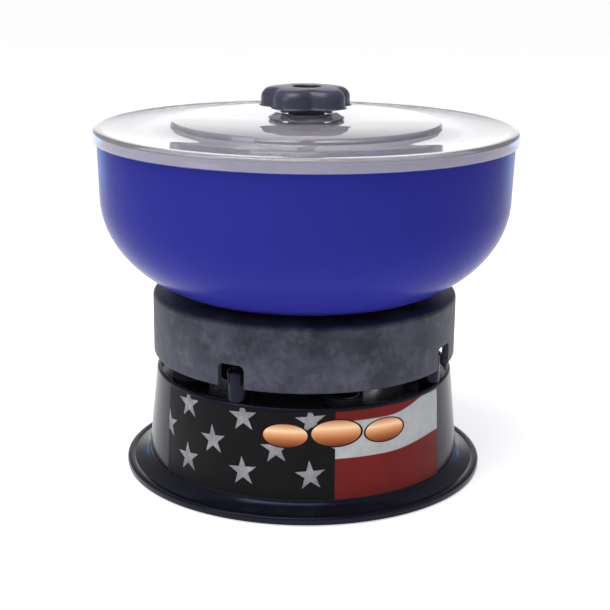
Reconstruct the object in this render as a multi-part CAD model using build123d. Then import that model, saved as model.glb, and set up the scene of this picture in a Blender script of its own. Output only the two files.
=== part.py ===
from build123d import *
import math
import os

# A vibratory rock tumbler. All sizes are in millimetres. Z = 0 is the surface that it stands on,
# the Z axis is the axis of the bowl and the motor, and the front faces -Y. An azimuth is counted
# in degrees from the front, positive towards +X.

# Lid: one clear moulding
lid_radius = 150.0
lid_thickness = 3.0
lid_skirt_wall = 2.6
lid_skirt_depth = 6.3
lid_skirt_draft = 0.8
lid_edge = 2.4
lid_disc_radius = 95.0
lid_disc_rise = 4.3
lid_disc_edge = 1.2
hub_radius = 27.3
hub_top_radius = 21.5
hub_height = 5.2
hub_shoulder_share = 0.6
hub_waist_inset = 1.5
hub_rim_width = 3.0
hub_skirt_depth = 5.5
hub_recess_depth = 4.2
hub_top_edge = 1.0
hub_shoulder_edge = 1.2
hub_skirt_edge = 1.5

# Bowl: one blue moulding with a hollow centre post
bowl_wall = 3.5
bowl_height = 110.5
bowl_side_height = 45.0
bowl_draft = 1.3
bowl_curve_width = 100.0
bowl_curve_share = 0.873
post_top_radius = 13.0
post_foot_radius = 24.0
post_top_thickness = 4.0
post_foot_blend = 6.0
bowl_edge = 1.0

# Centre stud, its nut and the knob
stud_radius = 4.0
stud_setback = 1.9
stud_root_depth = 20.0
stud_root_gap = 0.5
stud_chamfer = 0.6
nut_across_flats = 13.0
nut_height = 6.5
washer_thickness = 1.6
stud_washer_radius = 8.5
knob_radius = 32.5
knob_lobes = 5
knob_lobe_radius = 14.0
knob_core_radius = 20.0
knob_valley_blend = 3.0
knob_valley_azimuth = 7.4
knob_height = 13.5
knob_neck_radius = 12.9
knob_neck_height = 7.0
knob_edge = 4.0
knob_lower_edge = 1.5
knob_recess_radius = 10.0
knob_recess_depth = 4.0
insert_radius = 6.5
insert_height = 14.0
insert_inset = 1.0
captive_washer_radius = 11.0

# Drive housing: a charcoal upturned cup that carries the bowl and the motor
housing_radius = 109.5
housing_wall = 5.0
housing_height = 45.6
housing_gap = 10.5
housing_top_thickness = 5.0
housing_edge = 3.5
housing_lip = 2.2
notch_width = 20.0
notch_height = 16.8
notch_corner = 4.0
notch_azimuth = -26.5
notch_count = 4
stud_boss_radius = 14.0
stud_boss_height = 17.5
pad_inner_radius = 60.0
pad_outer_radius = 80.0
pad_thickness = 3.9
pad_ridge_width = 2.5
pad_ridge_height = 2.0
pad_edge = 0.8

# Base: a black upturned tapered bucket on a wide flange
foot_standoff = 1.0
flange_width = 16.6
flange_top_z = 6.0
flange_wall = 3.0
flange_rise = 2.6
flange_edge = 1.6
base_taper = 6.4
base_foot_z = 10.0
base_rim_setback = 2.1
base_rim_z = 74.5
base_wall = 3.0
base_rim_edge = 1.4
deck_recess = 4.0
deck_thickness = 3.5
motor_opening_clearance = 6.6
guide_post_radius = 7.3
guide_post_setback = 10.5
guide_post_headroom = 6.8
guide_post_edge = 1.0
plate_boss_radius = 5.0

# Label, bottom plate, feet and grommet on the base
label_half_angle = 58.0
label_thickness = 0.3
label_gap = 0.05
label_bottom_z = 12.0
label_top_z = 72.0
plate_thickness = 1.2
plate_z = 3.0
plate_gap = 0.8
slot_count = 12
slot_width = 4.0
slot_inner_radius = 50.0
slot_outer_radius = 78.0
plate_screw_radius = 1.75
plate_screw_head_radius = 4.0
plate_screw_head_height = 1.8
plate_screw_length = 14.0
plate_hole_spare = 2.0
foot_radius = 5.2
foot_edge = 0.4
foot_count = 4
grommet_z = 26.0
grommet_hole_radius = 6.5
grommet_bore_radius = 4.0
grommet_flange_radius = 9.5
grommet_flange_thickness = 2.5
grommet_pad_radius = 12.0
grommet_pad_height = 3.0

# Springs and their rubber cups
spring_radius = 11.0
spring_wire = 2.2
spring_turns = 6.0
cup_wall = 2.0
cup_floor = 2.5
cup_height = 6.0

# Motor
stator_side = 84.0
stator_corner = 9.0
stator_stack = 30.0
air_gap = 0.5
rotor_radius = 26.5
rotor_end_ring = 2.0
coil_inner_radius = 29.0
coil_outer_radius = 39.0
coil_height = 7.5
coil_edge = 3.0
bolt_square = 68.0
bolt_radius = 2.0
bolt_head_radius = 3.6
bolt_head_height = 3.2
bolt_top_gap = 8.0
bracket_plate = 6.0
bracket_leg_radius = 6.0
bracket_openings = 4
bearing_radius = 11.0
bearing_height = 7.0
bearing_wall = 5.0
bearing_chamfer = 0.4
bracket_leg_length = 19.6
upper_bearing_drop = 17.1
lower_bearing_drop = 17.0
mount_screw_square = 56.0
mount_screw_radius = 2.5
mount_screw_head_radius = 4.5
mount_screw_head_height = 2.8
mount_screw_length = 9.0
shaft_radius = 4.0
shaft_end = 1.0
shaft_top_end = 1.5
shaft_chamfer = 0.5
fan_radius = 38.0
fan_gap = 3.0
fan_height = 7.0
fan_disc = 1.6
fan_blades = 9
fan_blade_thickness = 1.5
fan_hub_radius = 9.0
fan_blade_root = 0.5
weight_radius = 34.0
weight_gap = 2.0
weight_height = 11.0
weight_hub_radius = 10.0
set_screw_radius = 2.5
set_screw_gap = 0.3
terminal_width = 30.0
terminal_depth = 10.0
terminal_height = 16.0
terminal_screw_radius = 2.2
terminal_screw_count = 3

# Clearances
running_fit = 0.05
bearing_fit = 0.02
seat_gap = 0.1
bore_clearance = 0.5
lid_clearance = 0.4
spring_end_gap = 0.05
shaft_clearance = 2.0
press_fit = 0.01
neck_spare = 0.1
overcut = 1.0

# Levels, from the bottom up, and radii that follow from the sizes above
housing_bottom_z = base_rim_z + housing_gap
housing_top_z = housing_bottom_z + housing_height
housing_ceiling_z = housing_top_z - housing_top_thickness
notch_top_z = housing_bottom_z + notch_height
guide_post_top_z = notch_top_z - guide_post_headroom
deck_z = base_rim_z - deck_recess
bowl_bottom_z = housing_top_z + pad_thickness
rim_z = bowl_bottom_z + bowl_height
bowl_shoulder_z = rim_z - bowl_side_height
bowl_curve_height = (bowl_shoulder_z - bowl_bottom_z) / bowl_curve_share
lid_top_z = rim_z + lid_thickness
disc_top_z = lid_top_z + lid_disc_rise
hub_top_z = disc_top_z + hub_height
hub_floor_z = hub_top_z - hub_recess_depth
bowl_rim_radius = lid_radius - lid_skirt_wall - lid_clearance
bowl_shoulder_radius = bowl_rim_radius - bowl_draft
post_top_z = disc_top_z - lid_thickness
knob_base_z = hub_floor_z + washer_thickness
knob_bottom_z = knob_base_z + knob_neck_height
knob_top_z = knob_bottom_z + knob_height
insert_bottom_z = knob_base_z + insert_inset
stud_boss_top_z = housing_top_z + stud_boss_height
stud_top_z = knob_top_z - knob_recess_depth - stud_setback
stud_root_z = stud_boss_top_z - stud_root_depth
housing_inner_radius = housing_radius - housing_wall
base_rim_radius = housing_radius - base_rim_setback
base_foot_radius = base_rim_radius + base_taper
flange_radius = base_foot_radius + flange_width
guide_post_centre = housing_radius - guide_post_setback
motor_opening_radius = stator_side / math.sqrt(2.0) + motor_opening_clearance
spring_centre = (motor_opening_radius + housing_inner_radius) / 2.0
stator_top_z = housing_ceiling_z - bracket_plate - bracket_leg_length
stator_bottom_z = stator_top_z - stator_stack
upper_bearing_z = housing_ceiling_z - upper_bearing_drop
lower_bearing_z = stator_bottom_z - lower_bearing_drop
lower_bracket_z = stator_bottom_z - bracket_leg_length - bracket_plate
fan_z = lower_bracket_z - fan_gap - fan_height
weight_z = fan_z - weight_gap - weight_height
shaft_bottom_z = weight_z - shaft_end
cup_radius = spring_radius + cup_wall + 2.0 * seat_gap
spring_bottom_z = deck_z + cup_floor
spring_top_z = housing_ceiling_z - cup_floor
spring_azimuth = notch_azimuth + 180.0 / notch_count


def place(radius, azimuth):
    """The X and Y at a radius and an azimuth from the front."""
    angle = math.radians(azimuth)
    return radius * math.sin(angle), -radius * math.cos(angle)


def turned(points):
    """A solid of revolution about Z from an outline of (radius, z) points."""
    outline = Polyline(*[(r, 0.0, z) for r, z in points], close=True)
    return revolve(make_face(outline), Axis.Z)


def rod(radius, bottom_z, top_z, x=0.0, y=0.0):
    """A vertical cylinder between two levels."""
    height = top_z - bottom_z
    return Pos(x, y, bottom_z + height / 2.0) * Cylinder(radius, height)


def ring(outer_radius, inner_radius, bottom_z, top_z):
    """A flat ring about Z between two levels."""
    return rod(outer_radius, bottom_z, top_z) - rod(inner_radius, bottom_z - overcut, top_z + overcut)


def around(count, start_azimuth, radius):
    """The X, Y and azimuth of each place of a circular pattern."""
    azimuths = [start_azimuth + i * 360.0 / count for i in range(count)]
    return [(*place(radius, azimuth), azimuth) for azimuth in azimuths]


def square_corners(side):
    """The four corners of a square about Z."""
    half = side / 2.0
    return [(half, half), (-half, half), (-half, -half), (half, -half)]


def circles_at(shape, z, radius=None):
    """The circular edges of a shape at one level, all of them or those of one radius."""
    found = []
    for edge in shape.edges().filter_by(GeomType.CIRCLE):
        level = edge.bounding_box()
        same_level = abs(level.min.Z - z) < 1e-4 and abs(level.max.Z - z) < 1e-4
        if same_level and (radius is None or abs(edge.radius - radius) < 1e-4):
            found.append(edge)
    return found


def base_wall_radius(z):
    """The outer radius of the tapered base wall at a level."""
    share = (base_rim_z - z) / (base_rim_z - base_foot_z)
    return base_rim_radius + (base_foot_radius - base_rim_radius) * share


def post_radius(z):
    """The outer radius of the bowl's tapered centre post at a level."""
    share = (post_top_z - z) / (post_top_z - bowl_bottom_z - bowl_wall)
    return post_top_radius + (post_foot_radius - post_top_radius) * share


def base_shell():
    """Flange, tapered wall, recessed deck with the motor opening, guide posts and screw bosses."""
    deck_under_z = deck_z - deck_thickness
    shell = turned([
        (flange_radius - flange_wall, foot_standoff),
        (flange_radius, foot_standoff),
        (flange_radius, flange_top_z),
        (base_foot_radius + flange_rise, flange_top_z + flange_rise),
        (base_foot_radius, base_foot_z),
        (base_rim_radius, base_rim_z),
        (base_rim_radius - base_wall, base_rim_z),
        (base_wall_radius(deck_z) - base_wall, deck_z),
        (motor_opening_radius, deck_z),
        (motor_opening_radius, deck_under_z),
        (base_wall_radius(deck_under_z) - base_wall, deck_under_z),
        (base_foot_radius - base_wall, base_foot_z),
        (base_foot_radius - base_wall, foot_standoff),
        (base_foot_radius, foot_standoff),
        (base_foot_radius, flange_top_z - flange_wall + flange_rise),
        (flange_radius - flange_wall, flange_top_z - flange_wall),
    ])
    shell = fillet(circles_at(shell, base_rim_z, base_rim_radius), base_rim_edge)
    shell = fillet(circles_at(shell, flange_top_z, flange_radius), flange_edge)
    for x, y, _ in around(notch_count, notch_azimuth, guide_post_centre):
        post = rod(guide_post_radius, deck_under_z, guide_post_top_z, x, y)
        shell += fillet(circles_at(post, guide_post_top_z), guide_post_edge)
        shell += rod(plate_boss_radius, plate_z + plate_thickness, deck_z, x, y)
        screw_hole_top_z = plate_z + plate_screw_length + plate_hole_spare
        shell -= rod(plate_screw_radius + seat_gap, 0.0, screw_hole_top_z, x, y)
    return shell - grommet_hole() + grommet_pad()


def grommet_pad():
    """The flat pad on the rear wall around the cord hole."""
    inner_y = base_wall_radius(grommet_z + grommet_pad_radius) - base_wall
    outer_y = base_wall_radius(grommet_z) + grommet_pad_height
    pad = Cylinder(grommet_pad_radius, outer_y - inner_y) - Cylinder(grommet_hole_radius, outer_y)
    return Pos(0.0, (inner_y + outer_y) / 2.0, grommet_z) * Rot(90.0, 0.0, 0.0) * pad


def grommet_hole():
    """The opening in the wall behind the pad."""
    length = 4.0 * base_wall + 2.0 * grommet_pad_height
    bore = Rot(90.0, 0.0, 0.0) * Cylinder(grommet_pad_radius - seat_gap, length)
    return Pos(0.0, base_wall_radius(grommet_z), grommet_z) * bore


def cord_grommet():
    """Rubber grommet with a flange on each side of the pad."""
    inner_y = base_wall_radius(grommet_z + grommet_pad_radius) - base_wall
    outer_y = base_wall_radius(grommet_z) + grommet_pad_height
    length = outer_y - inner_y
    neck = Cylinder(grommet_hole_radius - seat_gap, length + 2.0 * neck_spare)
    flange = Cylinder(grommet_flange_radius, grommet_flange_thickness)
    reach = (length + grommet_flange_thickness) / 2.0
    body = neck + Pos(0.0, 0.0, reach) * flange + Pos(0.0, 0.0, -reach) * flange
    body -= Cylinder(grommet_bore_radius, 2.0 * length)
    return Pos(0.0, (inner_y + outer_y) / 2.0, grommet_z) * Rot(90.0, 0.0, 0.0) * body


def base_label():
    """Printed film that wraps the front of the tapered wall."""
    inner_bottom = base_wall_radius(label_bottom_z) + label_gap
    inner_top = base_wall_radius(label_top_z) + label_gap
    band = turned([
        (inner_bottom, label_bottom_z),
        (inner_bottom + label_thickness, label_bottom_z),
        (inner_top + label_thickness, label_top_z),
        (inner_top, label_top_z),
    ])
    reach = 2.0 * base_foot_radius
    left = place(reach, -label_half_angle)
    right = place(reach, label_half_angle)
    wedge = make_face(Polyline((0.0, 0.0), left, (0.0, -reach), right, close=True))
    return band & extrude(wedge, base_rim_z)


def bottom_plate():
    """Steel disc that closes the base, with radial air slots."""
    top_z = plate_z + plate_thickness
    plate = rod(base_foot_radius - base_wall - plate_gap, plate_z, top_z)
    slot_length = slot_outer_radius - slot_inner_radius + slot_width
    slot_face = SlotOverall(slot_length, slot_width)
    for x, y, azimuth in around(slot_count, 0.0, (slot_inner_radius + slot_outer_radius) / 2.0):
        tool = extrude(Rot(0.0, 0.0, azimuth + 90.0) * slot_face, plate_thickness)
        plate -= Pos(x, y, plate_z) * tool
    for x, y, _ in around(notch_count, notch_azimuth, guide_post_centre):
        plate -= rod(plate_screw_radius + seat_gap, 0.0, top_z + overcut, x, y)
    return plate


def bottom_plate_screws():
    """Four pan-head screws up into the bosses under the guide posts."""
    screws = []
    for x, y, _ in around(notch_count, notch_azimuth, guide_post_centre):
        head = rod(plate_screw_head_radius, plate_z - plate_screw_head_height, plate_z, x, y)
        shank = rod(plate_screw_radius, plate_z, plate_z + plate_screw_length, x, y)
        screws.append(head + shank)
    return screws


def rubber_feet():
    """Four rubber discs in the hollow under the flange."""
    middle = (base_foot_radius + flange_radius - flange_wall) / 2.0
    top_z = flange_top_z - flange_wall
    feet = []
    for x, y, _ in around(foot_count, 180.0 / foot_count, middle):
        foot = rod(foot_radius, 0.0, top_z, x, y)
        feet.append(fillet(circles_at(foot, 0.0), foot_edge))
    return feet


def spring_cups(floor_z, upwards):
    """Four rubber cups that hold the spring ends, open upwards or downwards."""
    direction = 1.0 if upwards else -1.0
    cups = []
    for x, y, _ in around(notch_count, spring_azimuth, spring_centre):
        levels = sorted([floor_z, floor_z + direction * cup_height])
        pocket = sorted([floor_z + direction * cup_floor, floor_z + direction * (cup_height + overcut)])
        cup = rod(cup_radius, levels[0], levels[1], x, y)
        cups.append(cup - rod(cup_radius - cup_wall, pocket[0], pocket[1], x, y))
    return cups


def spring(azimuth):
    """One helical compression spring between its two cups."""
    wire = spring_wire / 2.0
    mean_radius = spring_radius - wire
    height = spring_top_z - spring_bottom_z - 2.0 * (wire + spring_end_gap)
    path = Helix(height / spring_turns, height, mean_radius)
    section = Plane(origin=path @ 0, z_dir=path % 0) * Circle(wire)
    coil = sweep(section, path=path, is_frenet=True)
    x, y = place(spring_centre, azimuth)
    return Pos(x, y, spring_bottom_z + wire + spring_end_gap) * coil


def drive_housing():
    """Upturned cup: wall with notches, top with the pad ridge, stud boss and screw holes."""
    inner = housing_inner_radius
    ridge_outer = pad_inner_radius - seat_gap
    ridge_inner = ridge_outer - pad_ridge_width
    cup = turned([
        (0.0, housing_ceiling_z),
        (inner, housing_ceiling_z),
        (inner, housing_bottom_z),
        (housing_radius, housing_bottom_z),
        (housing_radius, housing_top_z),
        (0.0, housing_top_z),
    ])
    cup = fillet(circles_at(cup, housing_top_z, housing_radius), housing_edge)
    cup = fillet(circles_at(cup, housing_bottom_z, housing_radius), housing_lip)
    cup = fillet(circles_at(cup, housing_bottom_z, inner), housing_lip)
    cup += ring(ridge_outer, ridge_inner, housing_top_z, housing_top_z + pad_ridge_height)
    cup += rod(stud_boss_radius, housing_top_z, stud_boss_top_z)
    cup -= rod(stud_radius + seat_gap, stud_root_z, stud_boss_top_z + overcut)
    for x, y in square_corners(mount_screw_square):
        cup -= rod(mount_screw_radius + seat_gap, housing_ceiling_z - overcut, housing_top_z + overcut, x, y)
    notch_block = Box(notch_width, 4.0 * housing_wall, 2.0 * notch_height)
    notch = Pos(0.0, 0.0, housing_bottom_z) * notch_block
    notch = fillet(notch.edges().filter_by(Axis.Y).group_by(Axis.Z)[-1], notch_corner)
    for x, y, azimuth in around(notch_count, notch_azimuth, housing_radius):
        cup -= Pos(x, y, 0.0) * Rot(0.0, 0.0, azimuth) * notch
    return cup


def seat_pad():
    """Rubber ring under the bowl."""
    pad = ring(pad_outer_radius, pad_inner_radius, housing_top_z, bowl_bottom_z)
    return fillet(circles_at(pad, bowl_bottom_z), pad_edge)


def bowl_section(inset, bottom_z):
    """The face of revolution inside the bowl wall, set in from the outside by an inset."""
    shoulder = bowl_shoulder_radius - inset
    width = bowl_curve_width - inset
    height = bowl_curve_height - inset
    centre = shoulder - width
    start = math.degrees(math.asin((bottom_z - bowl_shoulder_z) / height))
    curve = EllipticalCenterArc((centre, bowl_shoulder_z), width, height, start, arc_size=-start)
    low = curve @ 0
    high = curve @ 1
    rim_point = (bowl_rim_radius - inset, rim_z)
    sides = Polyline(tuple(high)[:2], rim_point, (0.0, rim_z), (0.0, bottom_z), tuple(low)[:2])
    return Plane.XZ * make_face([curve, sides])


def bowl():
    """Draft wall, elliptical lower curve, flat bottom and hollow centre post."""
    floor_z = bowl_bottom_z + bowl_wall
    shell = revolve(bowl_section(0.0, bowl_bottom_z), Axis.Z)
    shell -= revolve(bowl_section(bowl_wall, floor_z), Axis.Z)
    post = turned([(0.0, floor_z - overcut), (post_foot_radius, floor_z - overcut),
                   (post_foot_radius, floor_z), (post_top_radius, post_top_z), (0.0, post_top_z)])
    hollow_top_z = post_top_z - post_top_thickness
    hollow = turned([(0.0, bowl_bottom_z), (post_foot_radius - bowl_wall, bowl_bottom_z),
                     (post_top_radius - bowl_wall, hollow_top_z), (0.0, hollow_top_z)])
    shell += post
    shell = fillet(circles_at(shell, floor_z, post_foot_radius), post_foot_blend)
    shell = fillet(circles_at(shell, post_top_z, post_top_radius), bowl_edge)
    shell -= hollow
    shell -= rod(stud_radius + bore_clearance, bowl_bottom_z, post_top_z + overcut)
    inner_rim = bowl_rim_radius - bowl_wall
    return fillet(circles_at(shell, rim_z, inner_rim), bowl_edge)


def lid():
    """Plate with a skirt over the bowl rim, raised disc, hub above and locating socket below."""
    skirt_inner = bowl_rim_radius + lid_clearance
    skirt_bottom_z = rim_z - lid_skirt_depth
    disc_under_z = disc_top_z - lid_thickness
    socket_radius = post_radius(disc_under_z - hub_skirt_depth) + lid_clearance
    cover = turned([
        (0.0, disc_top_z),
        (lid_disc_radius, disc_top_z),
        (lid_disc_radius, lid_top_z),
        (lid_radius, lid_top_z),
        (lid_radius - lid_skirt_draft, skirt_bottom_z),
        (skirt_inner, skirt_bottom_z),
        (skirt_inner, rim_z),
        (lid_disc_radius - lid_thickness, rim_z),
        (lid_disc_radius - lid_thickness, disc_under_z),
        (0.0, disc_under_z),
    ])
    cover = fillet(circles_at(cover, lid_top_z, lid_radius), lid_edge)
    cover = fillet(circles_at(cover, disc_top_z, lid_disc_radius), lid_disc_edge)
    hub_shoulder_z = hub_top_z - hub_shoulder_share * hub_height
    upper_hub = turned([
        (0.0, disc_top_z - overcut),
        (hub_radius - hub_waist_inset, disc_top_z - overcut),
        (hub_radius - hub_waist_inset, disc_top_z),
        (hub_radius, hub_shoulder_z),
        (hub_top_radius, hub_top_z),
        (0.0, hub_top_z),
    ])
    upper_hub = fillet(circles_at(upper_hub, hub_shoulder_z, hub_radius), hub_shoulder_edge)
    upper_hub = fillet(circles_at(upper_hub, hub_top_z, hub_top_radius), hub_top_edge)
    lower_hub = ring(hub_radius, socket_radius, disc_under_z - hub_skirt_depth, disc_under_z + overcut)
    lower_hub = fillet(circles_at(lower_hub, disc_under_z - hub_skirt_depth, hub_radius), hub_skirt_edge)
    cover += upper_hub + lower_hub
    cover -= rod(socket_radius, disc_under_z - hub_skirt_depth - overcut, disc_under_z)
    cover -= rod(hub_top_radius - hub_rim_width, hub_floor_z, hub_top_z + overcut)
    return cover - rod(stud_radius + bore_clearance, disc_under_z - overcut, hub_top_z + overcut)


def knob():
    """Star knob: round lobes about a core, a neck below, a recess and the insert's bore."""
    lobe_centre = knob_radius - knob_lobe_radius
    half_step = 180.0 / knob_lobes
    half_gap = lobe_centre * math.sin(math.radians(half_step))
    valley_radius = lobe_centre * math.cos(math.radians(half_step))
    valley_radius += math.sqrt(knob_lobe_radius ** 2 - half_gap ** 2)
    star = Circle(knob_core_radius)
    for x, y, _ in around(knob_lobes, knob_valley_azimuth + half_step, lobe_centre):
        star += Pos(x, y) * Circle(knob_lobe_radius)
    concave = [v for v in star.vertices() if abs(math.hypot(v.X, v.Y) - valley_radius) < 1e-3]
    star = fillet(concave, knob_valley_blend)
    head = Pos(0.0, 0.0, knob_bottom_z) * extrude(star, knob_height)
    head = fillet(head.edges().group_by(Axis.Z)[-1], knob_edge)
    head = fillet(head.edges().group_by(Axis.Z)[0], knob_lower_edge)
    head += rod(knob_neck_radius, knob_base_z, knob_bottom_z + overcut)
    head -= rod(knob_recess_radius, knob_top_z - knob_recess_depth, knob_top_z + overcut)
    head -= rod(insert_radius + seat_gap, insert_bottom_z, insert_bottom_z + insert_height)
    return head - rod(stud_radius + bore_clearance, knob_base_z - overcut, knob_top_z)


def knob_insert():
    """Brass threaded insert, on the stud with a running fit."""
    inner_radius = stud_radius + running_fit
    return ring(insert_radius, inner_radius, insert_bottom_z, insert_bottom_z + insert_height)


def knob_washer():
    """Captive washer that rides up and down with the knob."""
    return ring(captive_washer_radius, stud_radius + bore_clearance, hub_floor_z, knob_base_z)


def hexagon(bottom_z, height):
    """A nut with a plain bore on the stud."""
    outline = RegularPolygon(nut_across_flats / 2.0, 6, major_radius=False)
    blank = Pos(0.0, 0.0, bottom_z) * extrude(outline, height)
    return blank - rod(stud_radius + seat_gap, bottom_z - overcut, bottom_z + height + overcut)


def motor_bracket(plate_bottom_z, plate_top_z, leg_end_z):
    """A square plate with four legs that reach the stator, shared by both brackets."""
    plate_height = plate_top_z - plate_bottom_z
    outline = RectangleRounded(stator_side, stator_side, stator_corner)
    bracket = Pos(0.0, 0.0, plate_bottom_z) * extrude(outline, plate_height)
    for x, y in square_corners(bolt_square):
        levels = sorted([leg_end_z, plate_bottom_z, plate_top_z])
        bracket += rod(bracket_leg_radius, levels[0], levels[-1], x, y)
    return bracket


def motor_upper_bracket():
    """Bearing carrier that hangs from the housing, with blind holes for both sets of screws."""
    plate_bottom_z = housing_ceiling_z - bracket_plate
    bracket = motor_bracket(plate_bottom_z, housing_ceiling_z, stator_top_z)
    bracket += rod(bearing_radius + bearing_wall, upper_bearing_z, plate_bottom_z + overcut)
    bracket -= rod(bearing_radius + seat_gap, upper_bearing_z - overcut, upper_bearing_z + bearing_height)
    bracket -= rod(shaft_radius + shaft_clearance, upper_bearing_z, plate_bottom_z + overcut)
    for x, y in square_corners(bolt_square):
        bracket -= rod(bolt_radius + seat_gap, stator_top_z - overcut, housing_ceiling_z - bolt_top_gap, x, y)
    for x, y in square_corners(mount_screw_square):
        hole_bottom_z = housing_top_z - mount_screw_length - overcut
        bracket -= rod(mount_screw_radius + seat_gap, hole_bottom_z, housing_ceiling_z + overcut, x, y)
    return bracket


def motor_lower_bracket():
    """Bearing carrier under the stator, with cooling openings."""
    plate_top_z = lower_bracket_z + bracket_plate
    bearing_top_z = lower_bearing_z + bearing_height
    bracket = motor_bracket(lower_bracket_z, plate_top_z, stator_bottom_z)
    bracket += rod(bearing_radius + bearing_wall, lower_bracket_z, bearing_top_z)
    bracket -= rod(bearing_radius + seat_gap, lower_bearing_z, bearing_top_z + overcut)
    bracket -= rod(shaft_radius + shaft_clearance, lower_bracket_z - overcut, bearing_top_z)
    for x, y in square_corners(bolt_square):
        bracket -= rod(bolt_radius + seat_gap, lower_bracket_z - overcut, stator_bottom_z + overcut, x, y)
    opening_centre = (bearing_radius + bearing_wall + stator_side / 2.0) / 2.0
    for x, y, _ in around(bracket_openings, 0.0, opening_centre):
        bracket -= rod(bracket_leg_radius, lower_bracket_z - overcut, plate_top_z + overcut, x, y)
    return bracket


def stator_core():
    """Laminated stack with the rotor bore and bolt holes."""
    outline = RectangleRounded(stator_side, stator_side, stator_corner)
    stack = Pos(0.0, 0.0, stator_bottom_z) * extrude(outline, stator_stack)
    stack -= rod(rotor_radius + air_gap, stator_bottom_z - overcut, stator_top_z + overcut)
    for x, y in square_corners(bolt_square):
        stack -= rod(bolt_radius + seat_gap, stator_bottom_z - overcut, stator_top_z + overcut, x, y)
    return stack


def stator_windings():
    """The coil heads above and below the stack."""
    coils = []
    for bottom_z in (stator_top_z, stator_bottom_z - coil_height):
        coil = ring(coil_outer_radius, coil_inner_radius, bottom_z, bottom_z + coil_height)
        free_z = bottom_z + coil_height if bottom_z >= stator_top_z else bottom_z
        coils.append(fillet(circles_at(coil, free_z), coil_edge))
    return coils


def bearing(bottom_z):
    """A sealed ball bearing as one ring, running on the shaft."""
    race = ring(bearing_radius, shaft_radius + bearing_fit, bottom_z, bottom_z + bearing_height)
    return chamfer(circles_at(race, bottom_z + bearing_height, bearing_radius), bearing_chamfer)


def motor_bolts():
    """Four long bolts from the lower bracket through the stack into the upper bracket."""
    bolts = []
    for x, y in square_corners(bolt_square):
        head = rod(bolt_head_radius, lower_bracket_z - bolt_head_height, lower_bracket_z, x, y)
        shank = rod(bolt_radius, lower_bracket_z, housing_ceiling_z - bolt_top_gap - overcut, x, y)
        bolts.append(head + shank)
    return bolts


def motor_mount_screws():
    """Four screws through the housing top into the upper bracket."""
    screws = []
    for x, y in square_corners(mount_screw_square):
        head_top_z = housing_top_z + mount_screw_head_height
        head = rod(mount_screw_head_radius, housing_top_z, head_top_z, x, y)
        shank = rod(mount_screw_radius, housing_top_z - mount_screw_length, housing_top_z, x, y)
        screws.append(head + shank)
    return screws


def motor_shaft():
    """Plain steel shaft from the weight to the upper bearing."""
    top_z = upper_bearing_z + bearing_height + shaft_top_end
    return chamfer(circles_at(rod(shaft_radius, shaft_bottom_z, top_z), shaft_bottom_z), shaft_chamfer)


def rotor_core():
    """Squirrel-cage rotor on the shaft."""
    bottom_z = stator_bottom_z - rotor_end_ring
    top_z = stator_top_z + rotor_end_ring
    return ring(rotor_radius, shaft_radius + press_fit, bottom_z, top_z)


def eccentric_weight():
    """Half disc with a hub, drilled for the set screw."""
    top_z = weight_z + weight_height
    disc = rod(weight_radius, weight_z, top_z)
    half = Pos(weight_radius / 2.0, 0.0, weight_z + weight_height / 2.0)
    disc &= half * Box(weight_radius, 2.0 * weight_radius, weight_height)
    disc += rod(weight_hub_radius, weight_z, top_z)
    disc -= rod(shaft_radius + press_fit, weight_z - overcut, top_z + overcut)
    return disc - set_screw_blank(set_screw_radius + seat_gap, shaft_radius)


def set_screw_blank(radius, start):
    """A radial cylinder in the hub, on the side away from the half disc."""
    length = weight_hub_radius - start
    blank = Rot(0.0, 90.0, 0.0) * Cylinder(radius, length)
    return Pos(-start - length / 2.0, 0.0, weight_z + weight_height / 2.0) * blank


def weight_set_screw():
    """Headless screw that grips the shaft."""
    return set_screw_blank(set_screw_radius, shaft_radius + set_screw_gap)


def cooling_fan():
    """Disc with radial blades below the motor."""
    fan = rod(fan_radius, fan_z, fan_z + fan_disc) + rod(fan_hub_radius, fan_z, fan_z + fan_height)
    blade_length = fan_radius - fan_hub_radius
    blade_height = fan_height - fan_disc
    blade = Box(blade_length, fan_blade_thickness, blade_height)
    middle_z = fan_z + fan_disc + blade_height / 2.0
    for x, y, azimuth in around(fan_blades, 0.0, fan_hub_radius - fan_blade_root + blade_length / 2.0):
        fan += Pos(x, y, middle_z) * Rot(0.0, 0.0, azimuth + 90.0) * blade
    return fan - rod(shaft_radius + press_fit, fan_z - overcut, fan_z + fan_height + overcut)


def terminal_places():
    """The X position of each terminal screw."""
    step = terminal_width / terminal_screw_count
    return [step * (i - (terminal_screw_count - 1) / 2.0) for i in range(terminal_screw_count)]


def terminal_block():
    """Insulating block on the rear side of the stator stack."""
    middle_y = (stator_side + terminal_depth) / 2.0
    middle_z = stator_bottom_z + stator_stack / 2.0
    block = Pos(0.0, middle_y, middle_z) * Box(terminal_width, terminal_depth, terminal_height)
    for x in terminal_places():
        hole = Rot(90.0, 0.0, 0.0) * Cylinder(terminal_screw_radius + seat_gap, terminal_depth)
        block -= Pos(x, middle_y + terminal_depth / 2.0, middle_z) * hole
    return block


def terminal_screws():
    """Brass clamp screws in the terminal block."""
    outer_y = stator_side / 2.0 + terminal_depth
    middle_z = stator_bottom_z + stator_stack / 2.0
    length = terminal_depth / 2.0
    screw = Rot(90.0, 0.0, 0.0) * Cylinder(terminal_screw_radius, length)
    return [Pos(x, outer_y - length / 2.0, middle_z) * screw for x in terminal_places()]


def stud_washer():
    """Plain washer on the stud boss."""
    top_z = stud_boss_top_z + washer_thickness
    return ring(stud_washer_radius, stud_radius + seat_gap, stud_boss_top_z, top_z)


def centre_stud():
    """Threaded rod from the housing boss to the knob, as a plain rod at its thread's diameter."""
    stud = rod(stud_radius, stud_root_z + stud_root_gap, stud_top_z)
    return chamfer(circles_at(stud, stud_top_z), stud_chamfer)


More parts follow.
